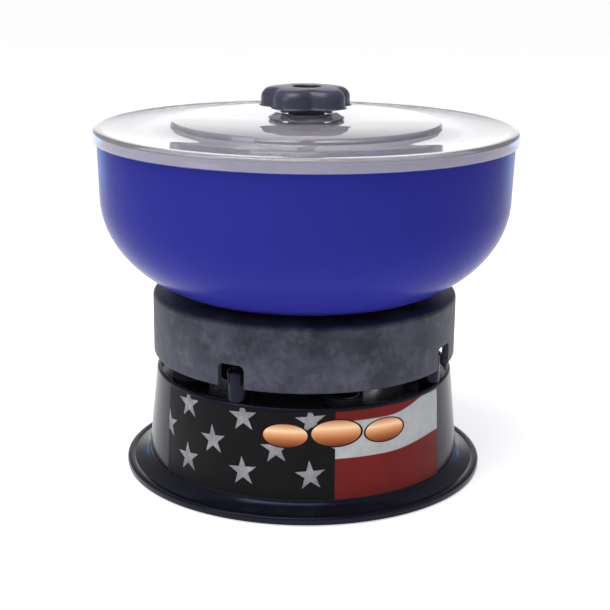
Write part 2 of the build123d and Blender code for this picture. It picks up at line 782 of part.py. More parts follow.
def save(name, shape):
    """Write one node, a single solid or a group of like solids."""
    solids = Compound(children=list(shape)) if isinstance(shape, list) else shape
    export_step(solids, f"parts/{name}.step")


os.makedirs("parts", exist_ok=True)

save("base_shell", base_shell())
save("base_label", base_label())
save("bottom_plate", bottom_plate())
save("bottom_plate_screws", bottom_plate_screws())
save("rubber_feet", rubber_feet())
save("cord_grommet", cord_grommet())
save("lower_spring_cups", spring_cups(deck_z, True))
for index, side in enumerate(("front", "right", "back", "left")):
    save(f"spring_{side}", spring(spring_azimuth + 90.0 * index))
save("upper_spring_cups", spring_cups(housing_ceiling_z, False))
save("drive_housing", drive_housing())
save("seat_pad", seat_pad())
save("motor_upper_bracket", motor_upper_bracket())
save("motor_lower_bracket", motor_lower_bracket())
save("stator_core", stator_core())
save("stator_windings", stator_windings())
save("upper_bearing", bearing(upper_bearing_z))
save("lower_bearing", bearing(lower_bearing_z))
save("motor_bolts", motor_bolts())
save("motor_mount_screws", motor_mount_screws())
save("terminal_block", terminal_block())
save("terminal_screws", terminal_screws())
save("motor_shaft", motor_shaft())
save("rotor_core", rotor_core())
save("eccentric_weight", eccentric_weight())
save("weight_set_screw", weight_set_screw())
save("cooling_fan", cooling_fan())
save("stud_washer", stud_washer())
save("stud_nut", hexagon(stud_boss_top_z + washer_thickness, nut_height))
save("centre_stud", centre_stud())
save("bowl", bowl())
save("lid", lid())
save("knob_washer", knob_washer())
save("knob", knob())
save("knob_insert", knob_insert())
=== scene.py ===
import math

import bmesh
import bpy
from mathutils import Matrix, Vector


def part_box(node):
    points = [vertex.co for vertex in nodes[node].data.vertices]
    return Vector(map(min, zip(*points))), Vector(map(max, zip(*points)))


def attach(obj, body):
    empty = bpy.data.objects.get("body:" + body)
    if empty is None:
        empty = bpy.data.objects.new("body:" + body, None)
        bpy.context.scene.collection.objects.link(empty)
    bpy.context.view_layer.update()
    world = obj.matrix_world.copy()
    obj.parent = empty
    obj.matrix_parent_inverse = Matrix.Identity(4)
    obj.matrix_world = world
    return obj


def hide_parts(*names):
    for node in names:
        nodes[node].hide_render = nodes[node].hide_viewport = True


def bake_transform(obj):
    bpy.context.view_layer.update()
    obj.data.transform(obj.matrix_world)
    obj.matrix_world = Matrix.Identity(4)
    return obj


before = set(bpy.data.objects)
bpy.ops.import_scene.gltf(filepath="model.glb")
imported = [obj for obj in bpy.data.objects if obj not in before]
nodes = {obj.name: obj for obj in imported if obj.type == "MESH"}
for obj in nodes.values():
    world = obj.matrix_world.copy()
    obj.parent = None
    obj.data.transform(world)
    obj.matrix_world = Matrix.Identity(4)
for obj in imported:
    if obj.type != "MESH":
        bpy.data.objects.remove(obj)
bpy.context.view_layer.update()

# The camera stands almost a metre in front of the tumbler and looks a little down on the lid,
# through a fairly long lens.
camera = bpy.data.objects.new("camera", bpy.data.cameras.new("camera"))
camera.location = (0.0, -0.969, 0.381)
camera_tilt = Matrix.Rotation(math.radians(74.74), 4, "X")
camera_roll = Matrix.Rotation(math.radians(0.6), 4, "Z")
camera.rotation_euler = (camera_tilt @ camera_roll).to_euler()
camera.data.sensor_width = 36.0
camera.data.lens = 81.2
camera.data.shift_x = 0.0009
bpy.context.scene.collection.objects.link(camera)
bpy.context.scene.camera = camera
bpy.context.scene.view_settings.view_transform = "Standard"


class Reading:
    """A shader value that can stand in a sum: each operator adds its Math node."""

    def __init__(self, finish, socket):
        self.finish = finish
        self.socket = socket

    def sum(self, operation, *values):
        return self.finish.node("ShaderNodeMath", {"operation": operation}, *values)

    def __add__(self, other):
        return self.sum("ADD", self, other)

    def __radd__(self, other):
        return self.sum("ADD", other, self)

    def __sub__(self, other):
        return self.sum("SUBTRACT", self, other)

    def __rsub__(self, other):
        return self.sum("SUBTRACT", other, self)

    def __mul__(self, other):
        return self.sum("MULTIPLY", self, other)

    def __rmul__(self, other):
        return self.sum("MULTIPLY", other, self)

    def __truediv__(self, other):
        return self.sum("DIVIDE", self, other)

    def __rtruediv__(self, other):
        return self.sum("DIVIDE", other, self)

    def __neg__(self):
        return self.sum("MULTIPLY", self, -1.0)

    def __abs__(self):
        return self.sum("ABSOLUTE", self)


class Finish:
    """One procedural finish: a Principled surface and the nodes that feed it."""

    def __init__(self, name, **uniform):
        self.material = bpy.data.materials.new(name)
        self.material.use_nodes = True
        self.tree = self.material.node_tree
        self.surface = self.tree.nodes["Principled BSDF"]
        for socket, value in uniform.items():
            self.surface.inputs[socket.replace("_", " ")].default_value = value
        self.place = self.node("ShaderNodeTexCoord", out="Object")

    def node(self, kind, settings=None, *values, out=None, **named):
        """Adds a node, sets it up, fills its inputs, and gives the reading of one output."""
        made = self.tree.nodes.new(kind)
        settings = dict(settings or {})
        stops = settings.pop("stops", None)
        for setting, value in settings.items():
            setattr(made, setting, value)
        if stops:
            ramp = made.color_ramp.elements
            while len(ramp) < len(stops):
                ramp.new(0.5)
            for element, (position, colour) in zip(ramp, stops):
                element.position = position
                element.color = colour if isinstance(colour, tuple) else (colour, colour, colour, 1.0)
        live = [socket for socket in made.inputs if socket.enabled]
        wanted = list(zip(live, values))
        wanted += [(next(s for s in live if s.name == n.replace("_", " ")), v) for n, v in named.items()]
        for socket, value in wanted:
            if isinstance(value, Reading):
                self.tree.links.new(value.socket, socket)
            else:
                socket.default_value = value
        outputs = [socket for socket in made.outputs if socket.enabled]
        return Reading(self, next(s for s in outputs if out in (None, s.name)))

    def noise(self, scale, detail=3.0, stretch=None, roughness=0.5):
        """Soft random mottling at a scale, in repeats a metre, from 0 to 1."""
        place = self.place
        if stretch:
            place = self.node("ShaderNodeMapping", None, Vector=place, Scale=stretch)
        return self.node("ShaderNodeTexNoise", None, Vector=place, Scale=scale, Detail=detail,
                         Roughness=roughness, out="Fac")

    def band(self, value, low, high):
        """A value stretched so that low becomes 0 and high becomes 1, and held between them."""
        return self.node("ShaderNodeMapRange", None, value, low, high, 0.0, 1.0, out="Result")

    def mix(self, share, first, second):
        """Blends two colours."""
        return self.node("ShaderNodeMix", {"data_type": "RGBA"}, Factor=share, A=first, B=second,
                         out="Result")

    def feed(self, **links):
        """Links readings to the surface's sockets."""
        for socket, value in links.items():
            self.tree.links.new(value.socket, self.surface.inputs[socket.replace("_", " ")])
        return self

    def relief(self, height, depth, strength=1.0):
        """Raises the surface by a height reading, in metres at its highest."""
        bump = self.node("ShaderNodeBump", None, Strength=strength, Distance=depth, Height=height)
        return self.feed(Normal=bump)


def tint(red, green, blue):
    """A colour from its screen values out of 255."""
    linear = [((c / 255.0 + 0.055) / 1.055) ** 2.4 if c > 10 else c / 3294.6 for c in (red, green, blue)]
    return (*linear, 1.0)


# The studio is a pale floor in front of a bright white backdrop. The room on the camera's side is
# dimmer. Soft lights stand over the object and to its left, and two weak blue ones stand low behind.
floor_side = 40.0
floor_mesh = bmesh.new()
bmesh.ops.create_grid(floor_mesh, x_segments=1, y_segments=1, size=floor_side / 2.0)
floor = bpy.data.objects.new("studio_floor", bpy.data.meshes.new("studio_floor"))
floor_mesh.to_mesh(floor.data)
floor_mesh.free()
bpy.context.scene.collection.objects.link(floor)
floor_finish = Finish("pale_floor", Roughness=0.9, Specular_IOR_Level=0.0, Emission_Strength=0.62,
                      Emission_Color=(1.0, 1.0, 1.0, 1.0))
floor_tone = floor_finish.noise(3.0)
floor_finish.feed(Base_Color=floor_finish.mix(floor_tone, tint(240, 240, 242), tint(248, 248, 249)))
floor.data.materials.append(floor_finish.material)

world = bpy.data.worlds.new("white_surround")
bpy.context.scene.world = world
world.use_nodes = True
sky = world.node_tree.nodes["Background"]
direction = world.node_tree.nodes.new("ShaderNodeTexCoord")
axes = world.node_tree.nodes.new("ShaderNodeSeparateXYZ")
backdrop = world.node_tree.nodes.new("ShaderNodeMapRange")
seen = world.node_tree.nodes.new("ShaderNodeLightPath")
brighter = world.node_tree.nodes.new("ShaderNodeMath")
brighter.operation = "MAXIMUM"
world.node_tree.links.new(direction.outputs["Generated"], axes.inputs["Vector"])
world.node_tree.links.new(axes.outputs["Y"], backdrop.inputs["Value"])
backdrop.inputs["From Min"].default_value = 0.90
backdrop.inputs["From Max"].default_value = 0.975
backdrop.inputs["To Min"].default_value = 0.38
backdrop.inputs["To Max"].default_value = 1.5
world.node_tree.links.new(backdrop.outputs["Result"], brighter.inputs[0])
world.node_tree.links.new(seen.outputs["Is Camera Ray"], brighter.inputs[1])
world.node_tree.links.new(brighter.outputs["Value"], sky.inputs["Strength"])
sky.inputs["Color"].default_value = (1.0, 1.0, 1.0, 1.0)


def softbox(name, place, target, width, height, power, colour=(1.0, 1.0, 1.0)):
    """A rectangular area light aimed at a point."""
    lamp = bpy.data.objects.new(name, bpy.data.lights.new(name, "AREA"))
    lamp.data.shape = "RECTANGLE"
    lamp.data.size = width
    lamp.data.size_y = height
    lamp.data.energy = power
    lamp.data.color = colour
    lamp.location = place
    lamp.rotation_euler = (Vector(target) - Vector(place)).to_track_quat("-Z", "Y").to_euler()
    bpy.context.scene.collection.objects.link(lamp)


softbox("top_light", (-0.25, -0.35, 1.5), (0.0, 0.0, 0.2), 0.9, 0.9, 13.0)
softbox("key_light", (-1.1, -0.8, 0.9), (0.0, 0.0, 0.15), 0.5, 0.9, 4.0)
for side, name in ((-1.0, "left"), (1.0, "right")):
    softbox(f"{name}_strip", (0.80 * side, 0.95, 0.12), (0.0, 0.0, 0.15), 0.40, 0.22, 0.35,
            (0.06, 0.42, 1.0))


# The base is one injection moulding in black gloss plastic: an upturned tapered bucket on a wide
# flange, standing on the rubber feet. Its deck sits a little below the rim and carries the spring
# cups, and four round posts stand up from it into the notches of the drive housing.
base_low, base_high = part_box("base_shell")
flange_radius = base_high.x
flange_top = base_low.z + 0.005
wall_foot_radius = 0.1138
wall_foot_z = 0.010
rim_radius = 0.1074
rim_z = 0.0745
base_wall = 0.003
deck_z = rim_z - 0.004
deck_under_z = deck_z - 0.0035
motor_opening_radius = 0.066
post_radius = 0.0073
post_circle = 0.099
post_top_z = 0.095
boss_radius = 0.005
post_azimuths = [math.radians(-26.5 + 90.0 * i) for i in range(4)]


def turned(outline, steps=256, closed=True):
    """A body of revolution about the Z axis from its outline of (radius, z) points."""
    body = bmesh.new()
    ring = [body.verts.new((radius, 0.0, z)) for radius, z in outline]
    pairs = list(zip(ring, ring[1:])) + ([(ring[-1], ring[0])] if closed else [])
    edges = [body.edges.new(pair) for pair in pairs]
    bmesh.ops.spin(body, geom=ring + edges, axis=(0.0, 0.0, 1.0), cent=(0.0, 0.0, 0.0),
                   angle=math.tau, steps=steps, use_merge=True)
    bmesh.ops.remove_doubles(body, verts=body.verts, dist=1e-6)
    bmesh.ops.recalc_face_normals(body, faces=body.faces)
    return body


def round_rings(body, rings, width, segments=3):
    """Rounds the circular edges at the given (radius, z) places of a turned body."""
    def at(vertex, radius, z):
        return abs(math.hypot(vertex.co.x, vertex.co.y) - radius) < 2e-5 and abs(vertex.co.z - z) < 2e-5

    chosen = [e for e in body.edges if any(at(e.verts[0], r, z) and at(e.verts[1], r, z) for r, z in rings)]
    bmesh.ops.bevel(body, geom=chosen, offset=width, segments=segments, profile=0.5,
                    affect="EDGES", material=-1)
    return body


def shown(body, name, finish, sharp=35.0):
    """Makes a finished piece of a mesh, smooth except at its sharp edges."""
    mesh = bpy.data.meshes.new(name)
    for face in body.faces:
        face.smooth = True
    body.to_mesh(mesh)
    body.free()
    mesh.set_sharp_from_angle(angle=math.radians(sharp))
    piece = bpy.data.objects.new(name, mesh)
    bpy.context.scene.collection.objects.link(piece)
    mesh.materials.append(finish.material)
    return piece


def add_rod(body, radius, bottom_z, top_z, x, y, segments=48, rounding=0.0, top_radius=None):
    """Adds an upright rod, its top edge rounded if asked."""
    made = bmesh.ops.create_cone(body, cap_ends=True, segments=segments, radius1=radius,
                                 radius2=radius if top_radius is None else top_radius,
                                 depth=top_z - bottom_z,
                                 matrix=Matrix.Translation((x, y, (top_z + bottom_z) / 2.0)))
    if rounding:
        top = [e for v in made["verts"] for e in v.link_edges
               if all(abs(w.co.z - top_z) < 1e-6 for w in e.verts)]
        bmesh.ops.bevel(body, geom=list(set(top)), offset=rounding, segments=3, profile=0.5,
                        affect="EDGES", material=-1)


def on_circle(radius, azimuth):
    """The X and Y of a place at an azimuth from the front."""
    return radius * math.sin(azimuth), -radius * math.cos(azimuth)


def wall_radius(z):
    """The outer radius of the tapered wall at a level."""
    return rim_radius + (wall_foot_radius - rim_radius) * (rim_z - z) / (rim_z - wall_foot_z)


base = turned([
    (flange_radius - 0.003, base_low.z),
    (flange_radius, base_low.z),
    (flange_radius, flange_top),
    (flange_radius - 0.0045, flange_top + 0.0004),
    (flange_radius - 0.0055, flange_top - 0.0001),
    (wall_foot_radius + 0.0030, flange_top + 0.0024),
    (wall_foot_radius + 0.0016, flange_top + 0.0040),
    (wall_radius(wall_foot_z + 0.001), wall_foot_z + 0.001),
    (rim_radius, rim_z),
    (rim_radius - base_wall, rim_z),
    (wall_radius(deck_z) - base_wall, deck_z),
    (motor_opening_radius, deck_z),
    (motor_opening_radius, deck_under_z),
    (wall_radius(deck_under_z) - base_wall, deck_under_z),
    (wall_foot_radius - base_wall, wall_foot_z),
    (wall_foot_radius - base_wall, base_low.z),
    (wall_foot_radius, base_low.z),
    (wall_foot_radius, flange_top - 0.0004),
    (flange_radius - 0.003, flange_top - 0.003),
])
round_rings(base, [(flange_radius, flange_top)], 0.0016, 4)
round_rings(base, [(rim_radius, rim_z)], 0.0016, 4)
round_rings(base, [(rim_radius - base_wall, rim_z)], 0.0008)
round_rings(base, [(flange_radius, base_low.z), (motor_opening_radius, deck_z)], 0.0006)
for azimuth in post_azimuths:
    x, y = on_circle(post_circle, azimuth)
    add_rod(base, post_radius, deck_under_z, post_top_z, x, y, rounding=0.0012)
    add_rod(base, boss_radius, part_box("bottom_plate")[1].z, deck_under_z + 0.001, x, y)

black_gloss = Finish("black_gloss_plastic", IOR=1.5, Specular_IOR_Level=0.2,
                     Specular_Tint=tint(206, 212, 250))
black_haze = black_gloss.noise(26.0, detail=5.0)
black_dust = black_gloss.band(black_gloss.noise(420.0, detail=2.0), 0.62, 0.78)
black_gloss.feed(
    Base_Color=black_gloss.mix(black_haze, tint(10, 10, 15), tint(26, 27, 38)),
    Roughness=0.13 + 0.10 * black_haze + 0.16 * black_dust,
)
black_gloss.relief(black_gloss.noise(900.0, detail=1.0), 0.00002, 0.25)
base_moulding = shown(base, "base_moulding", black_gloss)
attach(base_moulding, "base")
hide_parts("base_shell")


# The label is a printed film glued round the front of the tapered wall: pale stars on a dark field
# to the left, broad muted red and off-white bands to the right, and in the middle a plain device of
# three copper-toned tumbled pebbles. Its sides are upright, so it covers less angle lower down.
label_reach = math.radians(58.0)
label_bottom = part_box("base_label")[0].z
label_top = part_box("base_label")[1].z
label_gap = 0.00005
label_film = 0.0003
star_span = 0.0106
star_pitch = 0.0465
star_row_pitch = 0.0373
star_lowest = 0.0200
star_sets = [(-0.0880, 0.0289), (-0.0650, 0.0465)]
print_edge = 0.0002
band_edge = 0.0217
band_low = 0.0400
band_high = 0.0650
pebbles = [(-0.012, 0.0560, 0.0150), (0.0225, 0.0575, 0.0170), (0.058, 0.0560, 0.0150)]

label = bmesh.new()
corners = [(wall_radius(label_bottom) + label_gap, label_bottom),
           (wall_radius(label_bottom) + label_gap + label_film, label_bottom),
           (wall_radius(label_top) + label_gap + label_film, label_top),
           (wall_radius(label_top) + label_gap, label_top)]
start_x, start_y = math.sin(-label_reach), -math.cos(-label_reach)
section = [label.verts.new((r * start_x, r * start_y, z)) for r, z in corners]
section_edges = [label.edges.new((section[i], section[(i + 1) % 4])) for i in range(4)]
bmesh.ops.spin(label, geom=section + section_edges, axis=(0.0, 0.0, 1.0), cent=(0.0, 0.0, 0.0),
               angle=2.0 * label_reach, steps=96)
bmesh.ops.holes_fill(label, edges=[e for e in label.edges if e.is_boundary])
bmesh.ops.recalc_face_normals(label, faces=label.faces)

print_film = Finish("printed_label", Specular_IOR_Level=0.1)
across = print_film.node("ShaderNodeSeparateXYZ", None, print_film.place, out="X")
depth = print_film.node("ShaderNodeSeparateXYZ", None, print_film.place, out="Y")
height = print_film.node("ShaderNodeSeparateXYZ", None, print_film.place, out="Z")
azimuth_reading = print_film.node("ShaderNodeMath", {"operation": "ARCTAN2"}, across, -depth)
wall_reading = across * across + depth * depth
along = azimuth_reading * wall_reading.sum("SQRT", wall_reading)
ragged = print_film.noise(420.0, detail=4.0)


def star_field(start, level):
    """A lattice of upright five-pointed stars, 1 inside a star and 0 outside."""
    x = along - start + star_pitch * 20.5
    x = x.sum("MODULO", x, star_pitch) - star_pitch / 2.0
    y = height - level + star_row_pitch * 20.5
    y = y.sum("MODULO", y, star_row_pitch) - star_row_pitch / 2.0
    turn = print_film.node("ShaderNodeMath", {"operation": "ARCTAN2"}, x, y) + 0.08
    point = math.tau / 5.0
    folded = turn + point * 10.5
    folded = abs(folded.sum("MODULO", folded, point) - point / 2.0)
    reach = x * x + y * y
    reach = reach.sum("SQRT", reach)
    measure = reach * folded.sum("COSINE", folded) + 3.078 * reach * folded.sum("SINE", folded)
    measure = measure + 0.0014 * (ragged - 0.5)
    return print_film.band(measure, star_span + print_edge, star_span - print_edge)


stars = star_field(*star_sets[0])
stars = stars.sum("MAXIMUM", stars, star_field(*star_sets[1]))
stars = stars * print_film.band(height, star_lowest - print_edge, star_lowest + print_edge)
worn = print_film.noise(110.0, detail=6.0, roughness=0.65)
blotches = print_film.noise(38.0, detail=4.0)
dark_field = print_film.mix(blotches, tint(7, 7, 8), tint(20, 20, 23))
star_tone = print_film.mix(worn, tint(58, 58, 62), tint(184, 184, 188))
left_side = print_film.mix(stars, dark_field, star_tone)
wave = print_film.band(along, 0.060, 0.110)
wave = wave * wave * (3.0 - 2.0 * wave)
white_low = band_low + 0.004 * wave
white_high = band_high + 0.010 * wave
white_band = print_film.band(height - white_low, -0.0003, 0.0003)
white_band = white_band * print_film.band(height - white_high, 0.0003, -0.0003)
red_tone = print_film.mix(blotches, tint(90, 22, 20), tint(132, 36, 32))
white_tone = print_film.mix(worn, tint(150, 152, 154), tint(206, 207, 210))
right_side = print_film.mix(white_band, red_tone, white_tone)
side_share = print_film.band(along, band_edge - print_edge, band_edge + print_edge)
printed = print_film.mix(side_share, left_side, right_side)
pebble_mask = None
for middle, level, half_width in pebbles:
    sideways = (along - middle) / half_width
    upright = (height - level) / (0.52 * half_width)
    oval = sideways * sideways + upright * upright
    outline = print_film.band(oval, 1.22, 1.16)
    inside = print_film.band(oval, 1.02, 0.98)
    sheen = print_film.node("ShaderNodeValToRGB", {"stops": [
        (0.0, tint(96, 48, 28)), (0.30, tint(176, 104, 64)), (0.52, tint(226, 160, 112)),
        (0.70, tint(252, 214, 170)), (1.0, tint(190, 118, 76))]}, upright * 0.5 + 0.5, out="Color")
    printed = print_film.mix(outline, printed, tint(12, 8, 8))
    printed = print_film.mix(inside, printed, sheen)
    pebble_mask = inside if pebble_mask is None else pebble_mask + inside
print_film.feed(Base_Color=printed, Metallic=0.35 * pebble_mask, Roughness=0.34 + 0.2 * worn)
print_film.relief(pebble_mask + 0.15 * worn, 0.00008, 0.4)
label_middle = (label_bottom + label_top) / 2.0
for vertex in label.verts:
    reach = math.hypot(vertex.co.x, vertex.co.y)
    azimuth = math.atan2(vertex.co.x, -vertex.co.y) * wall_radius(label_middle) / wall_radius(vertex.co.z)
    vertex.co.x, vertex.co.y = on_circle(reach, azimuth)
label_piece = shown(label, "wrapped_label", print_film)
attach(label_piece, "base")
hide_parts("base_label")


# The floor of the base is a zinc-plated steel disc with air slots, pressed from sheet and held by
# four pan-head screws. The machine's other screws and washers have the same plating.
def dress(finish, *names):
    """Gives CAD nodes whose shape is already right their finish."""
    for name in names:
        if not nodes[name].material_slots:
            nodes[name].data.materials.append(finish.material)
        for slot in nodes[name].material_slots:
            slot.material = finish.material


zinc_sheet = Finish("zinc_plated_sheet", Metallic=1.0)
zinc_stain = zinc_sheet.noise(24.0, detail=5.0)
zinc_sheet.feed(Base_Color=zinc_sheet.mix(zinc_stain, tint(150, 152, 156), tint(196, 198, 201)),
                Roughness=0.26 + 0.22 * zinc_stain)
zinc_sheet.relief(zinc_sheet.noise(260.0), 0.00003, 0.3)
dress(zinc_sheet, "bottom_plate")

screw_steel = Finish("zinc_plated_screws", Metallic=1.0)
screw_turning = screw_steel.noise(70.0, detail=3.0, stretch=(1.0, 1.0, 14.0))
screw_steel.feed(Base_Color=screw_steel.mix(screw_turning, tint(142, 144, 150), tint(205, 206, 208)),
                 Roughness=0.20 + 0.25 * screw_turning)
screw_steel.relief(screw_turning, 0.00002, 0.3)
dress(screw_steel, "bottom_plate_screws", "motor_bolts", "motor_mount_screws", "stud_washer",
      "knob_washer", "weight_set_screw")


# Feet, cord grommet and spring cups are moulded in black rubber, matte and slightly dusty. Each is
# a push fit in its hole or seat.
black_rubber = Finish("black_rubber", Roughness=0.75)
rubber_dust = black_rubber.noise(85.0, detail=6.0, roughness=0.6)
black_rubber.feed(Base_Color=black_rubber.mix(rubber_dust, tint(18, 18, 20), tint(46, 46, 48)),
                  Roughness=0.62 + 0.25 * rubber_dust)
black_rubber.relief(black_rubber.noise(1400.0, detail=2.0), 0.00004, 0.35)
dress(black_rubber, "rubber_feet", "cord_grommet", "lower_spring_cups", "upper_spring_cups")


# Four compression springs of round steel wire stand between the cups. Each has a closed coil at
# both ends and five open turns.
wire_radius = 0.0011
coil_radius = 0.0099
open_turns = 5
closed_rise = 0.00235
steps_a_turn = 40
spring_steel = Finish("spring_wire", Metallic=1.0)
wire_tone = spring_steel.noise(180.0, detail=4.0)
spring_steel.feed(Base_Color=spring_steel.mix(wire_tone, tint(96, 98, 104), tint(168, 170, 174)),
                  Roughness=0.24 + 0.22 * wire_tone)
spring_steel.relief(spring_steel.noise(900.0), 0.00002, 0.3)


def wound(middle_x, middle_y, low_z, high_z):
    """A helical spring: one section of wire spun upwards turn by turn."""
    coil = bmesh.new()
    made = bmesh.ops.create_circle(coil, segments=12, radius=wire_radius)
    lift = Matrix.Translation((middle_x + coil_radius, middle_y, low_z + wire_radius))
    bmesh.ops.transform(coil, matrix=lift @ Matrix.Rotation(math.pi / 2.0, 4, "X"), verts=made["verts"])
    end = list(coil.verts) + list(coil.edges)
    open_rise = (high_z - low_z - 2.0 * wire_radius - 2.0 * closed_rise) / open_turns
    for rise in [closed_rise] + [open_rise] * open_turns + [closed_rise]:
        result = bmesh.ops.spin(coil, geom=end, axis=(0.0, 0.0, 1.0), cent=(middle_x, middle_y, 0.0),
                                dvec=(0.0, 0.0, rise / steps_a_turn), angle=math.tau,
                                steps=steps_a_turn)
        end = result["geom_last"]
    bmesh.ops.holes_fill(coil, edges=[e for e in coil.edges if e.is_boundary])
    bmesh.ops.recalc_face_normals(coil, faces=coil.faces)
    return coil


for side in ("front", "right", "back", "left"):
    low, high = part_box(f"spring_{side}")
    coil_piece = shown(wound((low.x + high.x) / 2.0, (low.y + high.y) / 2.0, low.z, high.z),
                       f"wound_spring_{side}", spring_steel)
    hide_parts(f"spring_{side}")
    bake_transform(coil_piece)


# The motor hangs under the drive housing: a stack of steel laminations with varnished copper
# coil heads, bolted between two die-cast brackets, each with a ball bearing for the shaft.
cast_alloy = Finish("die_cast_alloy", Metallic=0.9)
cast_grain = cast_alloy.noise(240.0, detail=4.0)
cast_alloy.feed(Base_Color=cast_alloy.mix(cast_grain, tint(138, 140, 144), tint(178, 180, 183)),
                Roughness=0.42 + 0.18 * cast_grain)
cast_alloy.relief(cast_grain, 0.00012, 0.4)
dress(cast_alloy, "motor_upper_bracket", "motor_lower_bracket")

laminations = Finish("laminated_steel", Metallic=0.85)
sheet_level = laminations.node("ShaderNodeSeparateXYZ", None, laminations.place, out="Z")
sheet_phase = sheet_level * 9000.0
sheet_line = sheet_phase.sum("SINE", sheet_phase) * 0.5 + 0.5
sheet_rust = laminations.noise(45.0, detail=6.0)
laminations.feed(Base_Color=laminations.mix(sheet_rust, tint(78, 78, 82), tint(122, 116, 110)),
                 Roughness=0.42 + 0.2 * sheet_rust)
laminations.relief(sheet_line, 0.0001, 0.6)
dress(laminations, "stator_core", "rotor_core")

coil_varnish = Finish("varnished_copper_coils", Roughness=0.3, Coat_Weight=0.5)
strand = coil_varnish.noise(160.0, detail=2.0, stretch=(1.0, 1.0, 9.0))
coil_varnish.feed(Base_Color=coil_varnish.mix(strand, tint(110, 46, 20), tint(196, 110, 56)))
coil_varnish.relief(strand, 0.0004, 0.7)
dress(coil_varnish, "stator_windings")

ground_steel = Finish("ground_steel", Metallic=1.0)
grinding = ground_steel.noise(120.0, detail=2.0, stretch=(1.0, 1.0, 22.0))
ground_steel.feed(Base_Color=ground_steel.mix(grinding, tint(176, 178, 182), tint(214, 215, 217)),
                  Roughness=0.12 + 0.16 * grinding)
dress(ground_steel, "upper_bearing", "lower_bearing", "motor_shaft")

insulation = Finish("terminal_insulation", Roughness=0.5)
insulation_tone = insulation.noise(150.0, detail=4.0)
insulation.feed(Base_Color=insulation.mix(insulation_tone, tint(196, 190, 170), tint(222, 218, 202)))
insulation.relief(insulation.noise(1100.0), 0.00003, 0.3)
dress(insulation, "terminal_block")

turned_brass = Finish("turned_brass", Metallic=1.0)
brass_marks = turned_brass.noise(90.0, detail=3.0, stretch=(1.0, 1.0, 12.0))
turned_brass.feed(Base_Color=turned_brass.mix(brass_marks, tint(176, 138, 72), tint(222, 190, 116)),
                  Roughness=0.2 + 0.2 * brass_marks)
dress(turned_brass, "terminal_screws", "knob_insert")

cast_iron = Finish("cast_iron_weight", Metallic=0.7)
iron_grain = cast_iron.noise(300.0, detail=5.0)
cast_iron.feed(Base_Color=cast_iron.mix(iron_grain, tint(58, 58, 60), tint(98, 96, 94)),
               Roughness=0.5 + 0.2 * iron_grain)
cast_iron.relief(iron_grain, 0.0002, 0.5)
dress(cast_iron, "eccentric_weight")

fan_moulding = Finish("fan_moulding", Roughness=0.45)
fan_tone = fan_moulding.noise(60.0, detail=4.0)
fan_moulding.feed(Base_Color=fan_moulding.mix(fan_tone, tint(24, 24, 26), tint(48, 48, 52)))
fan_moulding.relief(fan_moulding.noise(900.0), 0.00003, 0.3)
dress(fan_moulding, "cooling_fan")


# The drive housing is an upturned cup moulded in satin charcoal plastic, carried on the springs.
# Four notches with rounded corners are cut in its lower edge over the posts, and handling has
# scuffed it grey.
housing_low, housing_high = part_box("drive_housing")
housing_radius = housing_high.x
housing_inner = housing_radius - 0.005
housing_top = housing_low.z + 0.0456
ceiling = housing_top - 0.005
notch_top = housing_low.z + 0.0168
rib_outer = 0.0595 + 0.0004
rib_inner = 0.0570 + 0.0004
rib_top = housing_top + 0.002
stud_boss_radius = 0.014
stud_boss_top = housing_top + 0.0175
notch_size = (0.020, 0.020, 0.0336)
pad_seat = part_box("seat_pad")
stud_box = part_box("centre_stud")
stud_radius = stud_box[1].x

housing = turned([
    (0.0, ceiling),
    (housing_inner, ceiling),
    (housing_inner, notch_top + 0.003),
    (housing_inner, housing_low.z),
    (housing_radius, housing_low.z),
    (housing_radius, notch_top + 0.003),
    (housing_radius, housing_top),
    (rib_outer, housing_top),
    (rib_outer, rib_top),
    (rib_inner, rib_top),
    (rib_inner, housing_top),
    (stud_boss_radius, housing_top),
    (stud_boss_radius, stud_boss_top),
    (stud_radius + 0.0001, stud_boss_top),
    (stud_radius + 0.0001, stud_box[0].z - 0.0005),
    (0.0, stud_box[0].z - 0.0005),
], closed=False)
round_rings(housing, [(housing_radius, housing_top)], 0.0035, 5)
round_rings(housing, [(housing_radius, housing_low.z)], 0.0022, 4)
round_rings(housing, [(housing_inner, housing_low.z)], 0.0020, 3)
round_rings(housing, [(stud_boss_radius, stud_boss_top), (rib_outer, rib_top)], 0.0006)

charcoal = Finish("satin_charcoal_plastic", Specular_IOR_Level=0.3, Specular_Tint=tint(222, 224, 252))
charcoal_cloud = charcoal.noise(34.0, detail=8.0, roughness=0.66)
charcoal_fleck = charcoal.band(charcoal.noise(130.0, detail=5.0, roughness=0.7), 0.52, 0.70)
charcoal_rub = charcoal.band(charcoal.noise(62.0, detail=7.0, roughness=0.72), 0.50, 0.72)
charcoal_colour = charcoal.mix(charcoal.band(charcoal_cloud, 0.28, 0.72), tint(30, 31, 40), tint(74, 74, 88))
charcoal_colour = charcoal.mix(0.40 * charcoal_rub, charcoal_colour, tint(112, 112, 124))
charcoal_colour = charcoal.mix(0.35 * charcoal_fleck, charcoal_colour, tint(26, 27, 35))
charcoal.feed(Base_Color=charcoal_colour, Roughness=0.40 + 0.22 * charcoal_cloud)
charcoal.relief(charcoal.noise(700.0, detail=3.0) + 0.6 * charcoal_fleck, 0.00007, 0.4)
housing_piece = shown(housing, "drive_housing_moulding", charcoal)

